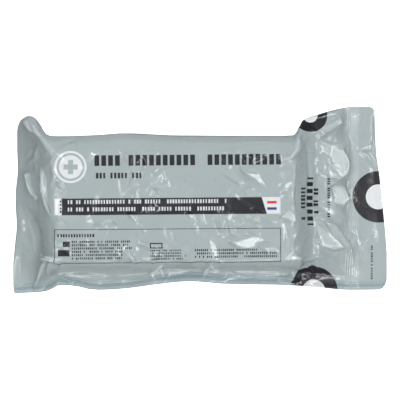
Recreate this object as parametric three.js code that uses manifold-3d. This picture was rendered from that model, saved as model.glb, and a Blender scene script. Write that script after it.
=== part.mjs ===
// An emergency trauma bandage as it is carried: an elastic wrap rolled flat, with its pad folded round it, inside a
// film pouch that is sucked down onto them. Two film walls are sealed together all round; the flat ends of the pouch
// are wider than its packed middle, which makes the ears at the corners.
// Millimetres, +Z up. +X points to the tear end, +Y to the side where the pad is folded over.
// Origin: centre of the pouch's outline, on the surface that it lies on, printed face up.

import * as THREE from "three";
import Module from "manifold-3d";
import { mergeVertices } from "three/addons/utils/BufferGeometryUtils.js";

const wasm = await Module();
wasm.setup();

// Contents
const WRAP_WIDTH = 150; // width of the elastic wrap, and so the length of the pack
const PACK_WIDTH = 80;
const PACK_HEIGHT = 26;
const PAD_THICKNESS = 4;
const LAYER_GAP = 0.3; // between one piece of the contents and the next
const APPLICATOR_LENGTH = 58;
const APPLICATOR_WIDTH = 34;
const APPLICATOR_HEIGHT = 3.2;
const APPLICATOR_WALL = 1.6;

// Pouch
const FILM = 0.6;
const SEAL_GAP = 0.3; // between the two film walls where they are sealed
const PACK_CLEARANCE = 0.4; // between the film and the pack
const SIDE_CLEARANCE = 0.8; // the same at the pack's long sides, where the film stands nearly upright
const CLOSED_FLAP = 29; // film past the pack at the closed end
const TEAR_FLAP = 61; // film past the pack at the tear end
const FOLD_SIDE_SPREAD = 19; // reach of the flat ends past the pack at the +Y side
const FREE_SIDE_SPREAD = 18; // the same at the -Y side, where the sealed edge sticks out all along
const NOTCH_RADIUS = 1.3;
const FOLD_HEIGHT = 3;
const FOLD_REACH = 8; // half the width of a fold

// Shape of the pack's rounded long sides: the pad's fold is round, the side with the free edges is squarer
const FOLDED_SIDE_POWER = 2.2;
const FOLDED_SIDE_REACH = 12;
const FREE_SIDE_POWER = 3;
const FREE_SIDE_REACH = 7;
const PACK_SIDE_STEPS = 9;

const HALF_PACK = PACK_WIDTH / 2;
const FILM_HEIGHT = PACK_HEIGHT + 2 * (FILM + PACK_CLEARANCE);
const HALF_FILM = HALF_PACK + FILM + SIDE_CLEARANCE; // outside of the film at the pack's long sides
const ZONE_START = { closed: 0, pack: CLOSED_FLAP, tear: CLOSED_FLAP + WRAP_WIDTH };
const ZONE_LENGTH = { closed: CLOSED_FLAP, pack: WRAP_WIDTH, tear: TEAR_FLAP };
const POUCH_LENGTH = CLOSED_FLAP + WRAP_WIDTH + TEAR_FLAP;

const table = (names, rows) => rows.map((row) => Object.fromEntries(names.map((name, i) => [name, row[i]])));

// A zone is a stretch of the pouch's length, and along is a share of it, from the closed end.
// reach: how far the outline stands past HALF_FILM, as a share of the spread on that side.
const FOLD_SIDE_OUTLINE = table(
  ["zone", "along", "reach"],
  [
    ["closed", 0, 0.2],
    ["closed", 0.05, 0.46],
    ["closed", 0.13, 0.58],
    ["closed", 0.3, 0.69],
    ["closed", 0.4, 0.67],
    ["closed", 0.54, 0.53],
    ["closed", 0.65, 0.26],
    ["closed", 0.75, 0.02],
    ["pack", 0, 0],
    ["pack", 0.15, 0.03],
    ["pack", 0.29, 0.1],
    ["pack", 0.5, 0.03],
    ["pack", 0.97, 0.01],
    ["tear", 0.03, 0.04],
    ["tear", 0.07, 0.3],
    ["tear", 0.11, 0.53],
    ["tear", 0.28, 0.73],
    ["tear", 0.53, 0.93],
    ["tear", 0.7, 1],
    ["tear", 0.93, 1],
    ["tear", 0.98, 0.94],
    ["tear", 1, 0.84],
  ],
);
const FREE_SIDE_OUTLINE = table(
  ["zone", "along", "reach"],
  [
    ["closed", 0, 0.95],
    ["closed", 0.03, 1],
    ["closed", 0.22, 0.99],
    ["closed", 0.62, 0.95],
    ["closed", 0.82, 0.88],
    ["pack", 0, 0.71],
    ["pack", 0.05, 0.71],
    ["pack", 0.16, 0.88],
    ["pack", 0.27, 0.84],
    ["pack", 0.43, 0.67],
    ["pack", 0.56, 0.57],
    ["pack", 0.73, 0.67],
    ["pack", 0.95, 0.7],
    ["tear", 0.28, 0.79],
    ["tear", 0.62, 0.88],
    ["tear", 0.92, 0.87],
    ["tear", 0.97, 0.82],
    ["tear", 1, 0.68],
  ],
);

// Ends of the pouch, which aren't straight. across runs from the -Y edge to the +Y edge.
// inset: how far the end lies inside the pouch's full length, as a share of its own flap.
const CLOSED_END = table(
  ["across", "inset"],
  [
    [0, 0.01],
    [0.05, 0],
    [0.18, 0],
    [0.42, 0.085],
    [0.58, 0.045],
    [0.74, 0.11],
    [0.9, 0.09],
    [1, 0.09],
  ],
);
const TEAR_END = table(
  ["across", "inset"],
  [
    [0, 0.015],
    [0.03, 0],
    [0.15, 0],
    [0.38, 0.03],
    [0.61, 0.073],
    [0.8, 0.12],
    [0.95, 0.126],
    [1, 0.13],
  ],
);

// Sections across the pouch.
// foldShoulder and freeShoulder: where the top face ends on each side, as a share of half the pack's width.
// foldCrown and freeCrown: height of the top face over the sealed edges, as a share of the height there is, at the
// top face's two sides.
// floor: 1 where the back wall lies on the ground, 0 where it has risen to the sealed edges.
// foldSeam and freeSeam: height of the sealed edge on each side, as a share of the pouch's height.
const SECTIONS = table(
  ["zone", "along", "foldShoulder", "freeShoulder", "foldCrown", "freeCrown", "floor", "foldSeam", "freeSeam"],
  [
    ["closed", 0, 1.08, 1.3, 0, 0, 0, 0.25, 0.1],
    ["closed", 0.28, 1.22, 1.3, 0.24, 0.05, 0.05, 0.4, 0.1],
    ["closed", 0.45, 1.12, 1.25, 0.44, 0.14, 0.25, 0.45, 0.11],
    ["closed", 0.6, 0.98, 1.12, 0.65, 0.34, 0.6, 0.48, 0.14],
    ["closed", 0.85, 0.84, 0.96, 0.94, 0.88, 1, 0.48, 0.22],
    ["pack", 0, 0.76, 0.9, 1, 1, 1, 0.48, 0.26],
    ["pack", 0.05, 0.7, 0.9, 1, 1, 1, 0.48, 0.27],
    ["pack", 0.2, 0.71, 0.92, 1, 1, 1, 0.48, 0.18],
    ["pack", 0.55, 0.72, 0.93, 1, 1, 1, 0.48, 0.24],
    ["pack", 0.8, 0.7, 0.92, 1, 1, 1, 0.48, 0.2],
    ["pack", 1, 0.76, 0.9, 1, 1, 1, 0.46, 0.19],
    ["tear", 0.04, 0.88, 0.9, 0.94, 0.95, 0.97, 0.46, 0.19],
    ["tear", 0.1, 1.0, 0.89, 0.7, 0.78, 0.8, 0.44, 0.18],
    ["tear", 0.18, 1.1, 0.88, 0.42, 0.5, 0.45, 0.42, 0.18],
    ["tear", 0.27, 1.18, 0.9, 0.28, 0.28, 0.15, 0.4, 0.17],
    ["tear", 0.45, 1.3, 0.94, 0.24, 0.18, 0, 0.34, 0.15],
    ["tear", 0.56, 1.35, 1.02, 0.12, 0.1, 0, 0.3, 0.14],
    ["tear", 0.62, 1.38, 1.1, 0, 0, 0, 0.28, 0.14],
    ["tear", 1, 1.4, 1.15, 0, 0, 0, 0.22, 0.13],
  ],
);

// How the film comes up from the sealed edge to the shoulder, on the -Y side: a flat skirt, then a steep wall.
// The two columns are shares of the way in and of the way up.
const SKIRT = table(
  ["inward", "up"],
  [
    [0, 0],
    [0.22, 0.03],
    [0.42, 0.09],
    [0.52, 0.25],
    [0.62, 0.56],
    [0.74, 0.84],
    [0.87, 0.97],
    [1, 1],
  ],
);
const FOLD_SIDE_ROWS = [1, 0.86, 0.7, 0.54, 0.4, 0.26, 0.13, 0.04, 0]; // shares of the way in from the shoulder
const TOP_FACE_ROWS = 8;

// Main folds of the film. Ends are shares of the pouch's length and of its width between the two outlines.
// height and reach are shares of FOLD_HEIGHT and FOLD_REACH, and back: 1 says that both walls take the fold together.
const FOLDS = table(
  ["fromAlong", "fromAcross", "toAlong", "toAcross", "height", "reach", "back"],
  [
    [0.035, 0.97, 0.115, 0.88, 1, 0.8, 0],
    [0.115, 0.88, 0.14, 0.78, 0.5, 0.6, 0],
    [0.045, 0.08, 0.055, 0.42, 0.6, 0.6, 0],
    [0.085, 0.45, 0.09, 0.68, 0.6, 0.5, 0],
    [0.04, 0.52, 0.045, 0.68, 0.4, 0.5, 0],
    [0.065, 0.03, 0.09, 0.2, 0.8, 0.6, 0],
    [0.39, 0.07, 0.395, 0.13, 0.6, 0.6, 0],
    [0.525, 0.06, 0.53, 0.12, 0.6, 0.6, 0],
    [0.81, 0.18, 0.9, 0.23, 0.9, 0.9, 0],
    [0.835, 0.36, 0.9, 0.24, 0.6, 0.7, 0],
    [0.83, 0.8, 0.86, 0.6, 0.9, 0.8, 0],
    [0.865, 0.63, 0.885, 0.76, 0.7, 0.9, 0],
    [0.8, 0.86, 0.875, 0.9, 0.6, 0.7, 0],
    [0.93, 0.75, 0.97, 0.82, 0.5, 0.8, 1],
    [0.93, 0.75, 0.97, 0.67, 0.4, 0.7, 1],
    [0.95, 0.3, 0.99, 0.2, 0.35, 1, 1],
  ],
);

const CLOSED_STATIONS = [0, 0.03, 0.08, 0.16, 0.28, 0.4, 0.5, 0.6, 0.68, 0.77, 0.88];
const PACK_STATIONS = Array.from({ length: 23 }, (_, i) => i / 23);
const TEAR_STATIONS = [
  0, 0.03, 0.07, 0.11, 0.18, 0.26, 0.35, 0.44, 0.5, 0.56, 0.62, 0.7, 0.78, 0.86, 0.93, 0.97, 0.99, 1,
];
const STATIONS = [
  ...CLOSED_STATIONS.map((along) => lengthwise("closed", along)),
  ...PACK_STATIONS.map((along) => lengthwise("pack", along)),
  ...TEAR_STATIONS.map((along) => lengthwise("tear", along)),
];

const lerp = THREE.MathUtils.lerp;
const clamp = THREE.MathUtils.clamp;
const superArc = (share, power) => (1 - clamp(share, 0, 1) ** power) ** (1 / power);

// Distance from the closed end.
function lengthwise(zone, along) {
  return ZONE_START[zone] + along * ZONE_LENGTH[zone];
}

// A smooth curve through a table's rows that never overshoots them (Fritsch and Carlson's monotone cubic).
function curveThrough(xs, ys) {
  const slope = xs.slice(1).map((x, i) => (ys[i + 1] - ys[i]) / (x - xs[i]));
  const tangent = xs.map((_, i) => {
    if (i === 0 || i === xs.length - 1) return slope[Math.min(i, slope.length - 1)];
    return slope[i - 1] * slope[i] <= 0 ? 0 : (2 * slope[i - 1] * slope[i]) / (slope[i - 1] + slope[i]);
  });
  return (x) => {
    const last = xs.length - 2;
    const k = clamp(xs.findIndex((knot) => knot > x) - 1, x >= xs[last + 1] ? last : 0, last);
    const h = xs[k + 1] - xs[k];
    const t = clamp((x - xs[k]) / h, 0, 1);
    const a = ys[k] * (1 + 2 * t) * (1 - t) ** 2 + h * tangent[k] * t * (1 - t) ** 2;
    return a + ys[k + 1] * t ** 2 * (3 - 2 * t) - h * tangent[k + 1] * t ** 2 * (1 - t);
  };
}

const columnCurve = (rows, column) =>
  curveThrough(
    rows.map((row) => lengthwise(row.zone, row.along)),
    rows.map((row) => row[column]),
  );
const endCurve = (rows) =>
  curveThrough(
    rows.map((row) => row.across),
    rows.map((row) => row.inset),
  );

const foldSideReach = columnCurve(FOLD_SIDE_OUTLINE, "reach");
const freeSideReach = columnCurve(FREE_SIDE_OUTLINE, "reach");
const closedInset = endCurve(CLOSED_END);
const tearInset = endCurve(TEAR_END);
const section = Object.fromEntries(
  ["foldShoulder", "freeShoulder", "foldCrown", "freeCrown", "floor", "foldSeam", "freeSeam"].map((column) => [
    column,
    columnCurve(SECTIONS, column),
  ]),
);
const skirtHeight = curveThrough(
  SKIRT.map((row) => row.inward),
  SKIRT.map((row) => row.up),
);

// The outline's two long edges, measured from the pack's centre line.
const foldSideEdge = (s) => HALF_FILM + foldSideReach(s) * FOLD_SIDE_SPREAD;
const freeSideEdge = (s) => -(HALF_FILM + freeSideReach(s) * FREE_SIDE_SPREAD);
const PACK_OFFSET =
  -(Math.max(...STATIONS.map(foldSideEdge)) + Math.min(...STATIONS.map(freeSideEdge))) / 2;

// Rows of the film's grid, from the -Y edge to the +Y edge. side says which part of the section a row is in, and
// inward is its share of the way from that side's edge to the shoulder, or of the way over the top face.
const ROWS = [
  ...SKIRT.map((row) => ({ side: "free", inward: row.inward })),
  ...Array.from({ length: TOP_FACE_ROWS - 1 }, (_, i) => ({ side: "face", inward: (i + 1) / TOP_FACE_ROWS })),
  ...FOLD_SIDE_ROWS.map((inward) => ({ side: "fold", inward })),
];

// Where a row's line runs at distance s from the closed end: the y, and how far up the film has come there.
function across(s, row) {
  const half = HALF_PACK;
  const foldEdge = foldSideEdge(s);
  const freeEdge = freeSideEdge(s);
  const foldShoulder = Math.min(section.foldShoulder(s) * half, foldEdge - 1);
  const freeShoulder = Math.max(-section.freeShoulder(s) * half, freeEdge + 1);
  if (row.side === "free") return { y: lerp(freeEdge, freeShoulder, row.inward), up: skirtHeight(row.inward) };
  if (row.side === "fold")
    return { y: lerp(foldEdge, foldShoulder, row.inward), up: superArc(1 - row.inward, FOLDED_SIDE_POWER) };
  return { y: lerp(freeShoulder, foldShoulder, row.inward), up: 1 };
}

// Height of the folds at a place in the film, given as shares of its length and width.
function foldHeight(along, widthwise, backOnly) {
  let height = 0;
  for (const fold of FOLDS) {
    if (backOnly && !fold.back) continue;
    const width = 2 * HALF_FILM;
    const start = new THREE.Vector2(fold.fromAlong * POUCH_LENGTH, fold.fromAcross * width);
    const run = new THREE.Vector2(fold.toAlong * POUCH_LENGTH, fold.toAcross * width).sub(start);
    const here = new THREE.Vector2(along * POUCH_LENGTH, widthwise * width).sub(start);
    const nearest = clamp(here.dot(run) / run.lengthSq(), 0, 1);
    const away = here.distanceTo(run.clone().multiplyScalar(nearest)) / (fold.reach * FOLD_REACH);
    if (away < 1) height = Math.max(height, fold.height * FOLD_HEIGHT * (1 - away ** 2) ** 2);
  }
  return height;
}

// The film's two outer surfaces at one point of the grid.
function filmPoint(s, row) {
  const { y, up } = across(s, row);
  const widthwise = (y - freeSideEdge(s)) / (foldSideEdge(s) - freeSideEdge(s));
  const closedFade = clamp(1 - s / CLOSED_FLAP, 0, 1) ** 2;
  const tearFade = clamp((s - ZONE_START.tear) / TEAR_FLAP, 0, 1) ** 2;
  const closedShift = closedInset(widthwise) * CLOSED_FLAP * closedFade;
  const tearShift = tearInset(widthwise) * TEAR_FLAP * tearFade;

  const seam = lerp(section.freeSeam(s), section.foldSeam(s), widthwise) * FILM_HEIGHT;
  const sealedHalf = FILM + SEAL_GAP / 2;
  const edgeFade = Math.sin(Math.PI * clamp(widthwise, 0, 1)) ** 0.5;
  const shared = foldHeight(s / POUCH_LENGTH, widthwise, true) * edgeFade;
  const own = foldHeight(s / POUCH_LENGTH, widthwise, false) * edgeFade;
  const rise = lerp(section.freeCrown(s), section.foldCrown(s), widthwise) * up;
  const fall = section.floor(s) * up;
  return {
    x: s - POUCH_LENGTH / 2 + closedShift - tearShift,
    y: y + PACK_OFFSET,
    front: lerp(seam + sealedHalf, FILM_HEIGHT, rise) + own * (1 - rise),
    back: lerp(seam - sealedHalf, 0, fall) + shared * (1 - fall),
  };
}

const GRID = STATIONS.map((s) => ROWS.map((row) => filmPoint(s, row)));

// How much deeper than FILM a wall is, measured straight down, so that it is FILM thick on a slope too.
function depthOnSlope(surface, i, j) {
  const MOST = 2.5;
  const a = GRID[Math.max(i - 1, 0)][j];
  const b = GRID[Math.min(i + 1, GRID.length - 1)][j];
  const c = GRID[i][Math.max(j - 1, 0)];
  const d = GRID[i][Math.min(j + 1, ROWS.length - 1)];
  const slopeX = (b[surface] - a[surface]) / (b.x - a.x);
  const slopeY = (d[surface] - c[surface]) / (d.y - c.y);
  return FILM * Math.min(Math.hypot(1, slopeX, slopeY), MOST);
}

const onEdge = (i, j) => i === 0 || j === 0 || i === GRID.length - 1 || j === ROWS.length - 1;
const frontTop = (i, j) => GRID[i][j].front;
const frontUnder = (i, j) => GRID[i][j].front - (onEdge(i, j) ? FILM : depthOnSlope("front", i, j));
const backUnder = (i, j) => GRID[i][j].back;
const backTop = (i, j) => GRID[i][j].back + (onEdge(i, j) ? FILM : depthOnSlope("back", i, j));

// A closed sheet over the grid, between an upper and a lower height.
function sheetGeometry(upper, lower) {
  const columns = GRID.length;
  const rows = ROWS.length;
  const positions = [];
  for (const height of [upper, lower])
    for (let i = 0; i < columns; i++)
      for (let j = 0; j < rows; j++) positions.push(GRID[i][j].x, GRID[i][j].y, height(i, j));
  const at = (layer, i, j) => layer * columns * rows + i * rows + j;
  const faces = [];
  const quad = (a, b, c, d) => faces.push(a, b, c, a, c, d);
  for (let i = 0; i + 1 < columns; i++)
    for (let j = 0; j + 1 < rows; j++) {
      quad(at(0, i, j), at(0, i + 1, j), at(0, i + 1, j + 1), at(0, i, j + 1));
      quad(at(1, i, j), at(1, i, j + 1), at(1, i + 1, j + 1), at(1, i + 1, j));
    }
  for (let i = 0; i + 1 < columns; i++) {
    quad(at(0, i + 1, 0), at(0, i, 0), at(1, i, 0), at(1, i + 1, 0));
    quad(at(0, i, rows - 1), at(0, i + 1, rows - 1), at(1, i + 1, rows - 1), at(1, i, rows - 1));
  }
  for (let j = 0; j + 1 < rows; j++) {
    quad(at(0, 0, j), at(0, 0, j + 1), at(1, 0, j + 1), at(1, 0, j));
    quad(at(0, columns - 1, j + 1), at(0, columns - 1, j), at(1, columns - 1, j), at(1, columns - 1, j + 1));
  }
  return new THREE.BufferGeometry()
    .setAttribute("position", new THREE.Float32BufferAttribute(positions, 3))
    .setIndex(faces);
}

function toSolid(geometry) {
  const bare = geometry.clone();
  bare.deleteAttribute("normal");
  bare.deleteAttribute("uv");
  const merged = mergeVertices(bare, 1e-4);
  return new wasm.Manifold(
    new wasm.Mesh({
      numProp: 3,
      vertProperties: new Float32Array(merged.attributes.position.array),
      triVerts: new Uint32Array(merged.index.array),
    }),
  );
}

function toGeometry(solid) {
  const mesh = solid.getMesh();
  const geometry = new THREE.BufferGeometry()
    .setAttribute("position", new THREE.BufferAttribute(new Float32Array(mesh.vertProperties), 3))
    .setIndex(new THREE.BufferAttribute(new Uint32Array(mesh.triVerts), 1));
  geometry.computeVertexNormals();
  return geometry;
}

// Half-round tear notches, one in the sealed -Y edge and one in the tear end.
function tearNotches() {
  const NOTCH_ALONG = 0.18;
  const NOTCH_ACROSS = 0.49;
  const NOTCH_SIDES = 12;
  const s = lengthwise("tear", NOTCH_ALONG);
  const tearX = POUCH_LENGTH / 2 - tearInset(NOTCH_ACROSS) * TEAR_FLAP;
  const tearY = lerp(freeSideEdge(POUCH_LENGTH), foldSideEdge(POUCH_LENGTH), NOTCH_ACROSS);
  return [
    [s - POUCH_LENGTH / 2, freeSideEdge(s) + PACK_OFFSET],
    [tearX, tearY + PACK_OFFSET],
  ].map(([x, y]) => {
    const cutter = new THREE.CylinderGeometry(NOTCH_RADIUS, NOTCH_RADIUS, 2 * FILM_HEIGHT, NOTCH_SIDES);
    return toSolid(cutter.rotateX(Math.PI / 2).translate(x, y, FILM_HEIGHT / 2));
  });
}

const NOTCHES = tearNotches();

function filmWall(upper, lower) {
  return toGeometry(NOTCHES.reduce((wall, notch) => wall.subtract(notch), toSolid(sheetGeometry(upper, lower))));
}

// Outline of a layer of the pack, seen along X, at a depth below the pack's own outside: flat above and below, with
// a round side towards +Y and a squarer one towards -Y.
function packOutline(depth) {
  const sides = [
    { sign: 1, reach: FOLDED_SIDE_REACH, power: FOLDED_SIDE_POWER },
    { sign: -1, reach: FREE_SIDE_REACH, power: FREE_SIDE_POWER },
  ];
  const halfHeight = PACK_HEIGHT / 2 - depth;
  return sides.flatMap(({ sign, reach, power }) =>
    Array.from({ length: PACK_SIDE_STEPS + 1 }, (_, i) => {
      const angle = Math.PI * (i / PACK_SIDE_STEPS - 0.5);
      const outward = Math.cos(angle) ** (2 / power) * (reach - depth);
      const up = Math.sign(Math.sin(angle)) * Math.abs(Math.sin(angle)) ** (2 / power) * halfHeight;
      return new THREE.Vector2(sign * (HALF_PACK - reach + outward), sign * up);
    }),
  );
}

// Pushes a shape in the Y-Z plane along X, and sets it in its place in the pouch.
function alongPack(shape, length) {
  return new THREE.ExtrudeGeometry(shape, { depth: length, bevelEnabled: false })
    .translate(0, 0, -length / 2)
    .rotateX(Math.PI / 2)
    .rotateZ(Math.PI / 2)
    .translate(PACK_CENTRE.x, PACK_CENTRE.y, PACK_CENTRE.z);
}

const PACK_CENTRE = new THREE.Vector3(
  ZONE_START.pack + WRAP_WIDTH / 2 - POUCH_LENGTH / 2,
  PACK_OFFSET,
  FILM + PACK_CLEARANCE + PACK_HEIGHT / 2,
);

// The pad is folded once round the wrap, and is open on the -Y side.
function foldedPad() {
  const shape = new THREE.Shape(packOutline(0));
  shape.holes.push(new THREE.Path(packOutline(PAD_THICKNESS)));
  const wrapper = toSolid(alongPack(shape, WRAP_WIDTH - 2 * PACK_CLEARANCE));
  const mouth = new THREE.BoxGeometry(WRAP_WIDTH + 1, 2 * PAD_THICKNESS, PACK_HEIGHT - 2 * PAD_THICKNESS)
    .translate(PACK_CENTRE.x, PACK_CENTRE.y - HALF_PACK, PACK_CENTRE.z);
  return toGeometry(wrapper.subtract(toSolid(mouth)));
}

// A shallow channel with its two walls down, like the plastic piece that presses on the pad.
function applicatorBlock(extra) {
  return new THREE.BoxGeometry(
    APPLICATOR_LENGTH + 2 * extra,
    APPLICATOR_WIDTH + 2 * extra,
    APPLICATOR_HEIGHT + extra,
  ).translate(
    PACK_CENTRE.x,
    PACK_CENTRE.y,
    PACK_CENTRE.z + PACK_HEIGHT / 2 - PAD_THICKNESS - LAYER_GAP - (APPLICATOR_HEIGHT + extra) / 2,
  );
}

function pressureApplicator() {
  const hollow = new THREE.BoxGeometry(
    APPLICATOR_LENGTH + 1,
    APPLICATOR_WIDTH - 2 * APPLICATOR_WALL,
    APPLICATOR_HEIGHT,
  ).translate(
    PACK_CENTRE.x,
    PACK_CENTRE.y,
    PACK_CENTRE.z + PACK_HEIGHT / 2 - PAD_THICKNESS - LAYER_GAP - APPLICATOR_WALL - APPLICATOR_HEIGHT / 2,
  );
  return toGeometry(toSolid(applicatorBlock(0)).subtract(toSolid(hollow)));
}

// The wrap, rolled flat, with a hollow pressed into it by the applicator.
function wrapRoll() {
  const roll = alongPack(new THREE.Shape(packOutline(PAD_THICKNESS + LAYER_GAP)), WRAP_WIDTH - 2 * PACK_CLEARANCE);
  return toGeometry(toSolid(roll).subtract(toSolid(applicatorBlock(LAYER_GAP).translate(0, 0, LAYER_GAP))));
}

const filmFinish = { color: 0xaebbbd, roughness: 0.32, metalness: 0.1 };
const FINISH = {
  front_film: filmFinish,
  back_film: filmFinish,
  folded_pad: { color: 0xe9e7df, roughness: 0.95, metalness: 0 },
  wrap_roll: { color: 0x6c7258, roughness: 0.95, metalness: 0 },
  pressure_applicator: { color: 0x3a3f38, roughness: 0.5, metalness: 0 },
};

const SHAPES = {
  front_film: filmWall(frontTop, frontUnder),
  back_film: filmWall(backTop, backUnder),
  folded_pad: foldedPad(),
  wrap_roll: wrapRoll(),
  pressure_applicator: pressureApplicator(),
};

const bandage = new THREE.Group();
for (const [name, geometry] of Object.entries(SHAPES)) {
  const mesh = new THREE.Mesh(geometry, new THREE.MeshStandardMaterial(FINISH[name]));
  mesh.name = name;
  bandage.add(mesh);
}

export default bandage;
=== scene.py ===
"""The look of an emergency trauma bandage in its sealed film pouch.

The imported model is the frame. The pouch's two film walls are laid over it as fine grids, folded along
the main creases, given some slack and pressed down onto the pack by a small film simulation. Print, seals
and film are procedural. Lengths are in millimetres up to the point where a mesh is made.
"""

import math

import bmesh
import bpy
import numpy as np
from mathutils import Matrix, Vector
from mathutils.bvhtree import BVHTree
from mathutils.geometry import delaunay_2d_cdt


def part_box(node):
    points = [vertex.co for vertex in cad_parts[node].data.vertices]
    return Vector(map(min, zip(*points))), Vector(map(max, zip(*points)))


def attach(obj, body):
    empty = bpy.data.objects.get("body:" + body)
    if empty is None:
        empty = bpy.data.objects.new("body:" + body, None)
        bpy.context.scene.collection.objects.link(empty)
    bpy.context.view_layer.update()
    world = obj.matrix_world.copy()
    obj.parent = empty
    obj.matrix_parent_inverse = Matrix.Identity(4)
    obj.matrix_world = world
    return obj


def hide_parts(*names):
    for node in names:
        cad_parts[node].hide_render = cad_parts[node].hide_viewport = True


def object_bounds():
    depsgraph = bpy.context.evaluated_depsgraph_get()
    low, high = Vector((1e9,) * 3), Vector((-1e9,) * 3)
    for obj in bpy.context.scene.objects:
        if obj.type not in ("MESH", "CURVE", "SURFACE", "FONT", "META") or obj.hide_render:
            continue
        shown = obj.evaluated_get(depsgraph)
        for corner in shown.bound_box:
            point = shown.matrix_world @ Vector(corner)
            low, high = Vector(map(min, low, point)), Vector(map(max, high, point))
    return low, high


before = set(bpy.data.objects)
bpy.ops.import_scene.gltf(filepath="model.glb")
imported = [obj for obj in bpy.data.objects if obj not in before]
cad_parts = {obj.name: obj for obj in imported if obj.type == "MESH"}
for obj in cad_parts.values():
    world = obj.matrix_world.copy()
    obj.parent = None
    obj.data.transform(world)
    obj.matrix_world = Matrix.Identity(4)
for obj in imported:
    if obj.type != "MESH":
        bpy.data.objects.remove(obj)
cad_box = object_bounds()

MM = 0.001
COLUMNS = 381  # of the front wall's grid, along the pouch
ROWS = 201  # of the same grid, across it
SEAL_DENSITY = 1.1  # by how much its columns are denser in the seal
SHEET = 0.16  # thickness of one film wall
WELD_GAP = 0.06  # between the walls
PACK_ROOM = 0.4  # between the front wall's outer face and the pack under it
TOP_ROOM = 4  # how far a fold may stand above the solid pouch
FAR = 200.0  # clear above and below the pouch

box_low, box_high = (np.array(corner) / MM for corner in cad_box)
pack_low, pack_high = (np.array(corner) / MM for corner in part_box("folded_pad"))
LENGTH = box_high[0] - box_low[0]
WIDTH = box_high[1] - box_low[1]

# The welded band across the tear end, and the fine ribs that the sealing bar left in it.
SEAL_START = 92.5
SEAL_END = 102.0
RIB_PITCH = 1.35
RIB_HEIGHT = 0.05
FIRST_RIBS = 96.0  # up to here they are higher
LOW_RIBS = 97.5  # from here they aren't
FIRST_RIB_HEIGHT = 0.11  # what the first ones have more
KNURL_PITCH = 2.1
KNURL_HEIGHT = 0.16
KNURLS = [
    # left, right, low, high
    (93.0, 113.0, 54.6, 59.4),
    (99.0, 118.5, -57.2, -52.0),
]

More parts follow.
